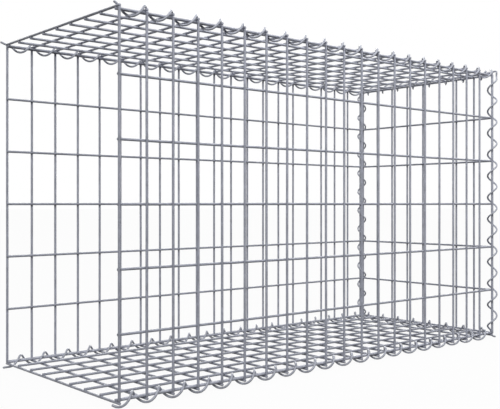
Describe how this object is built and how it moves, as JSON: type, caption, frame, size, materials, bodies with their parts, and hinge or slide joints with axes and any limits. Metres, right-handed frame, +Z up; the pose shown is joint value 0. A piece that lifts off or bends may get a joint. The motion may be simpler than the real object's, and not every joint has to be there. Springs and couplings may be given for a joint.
{
  "type": "gabion basket",
  "caption": "Empty gabion basket bay of welded wire mesh with lid and base, bound along its edges by wire spirals and open at one end for the next bay of a stone-filled wall.",
  "frame": {"origin": "under the middle of the basket's box, at the level of the base binders' lowest loops", "axes": "+X along the wall from the open end to the closed end, +Y from the front panel to the back panel, +Z up"},
  "size_m": [1.029, 0.4302, 0.6317],
  "materials": {
    "mesh_wire": "galvanised",
    "binder_wire": "galvanised"
  },
  "bodies": {
    "root": {"front_panel": "mesh_wire", "back_panel": "mesh_wire", "end_panel": "mesh_wire", "lid_panel": "mesh_wire", "base_panel": "mesh_wire", "lid_front_binder": "binder_wire", "lid_back_binder": "binder_wire", "lid_end_binder": "binder_wire", "base_front_binder": "binder_wire", "base_back_binder": "binder_wire", "base_end_binder": "binder_wire", "front_corner_binder": "binder_wire", "back_corner_binder": "binder_wire"}
  },
  "joints": []
}
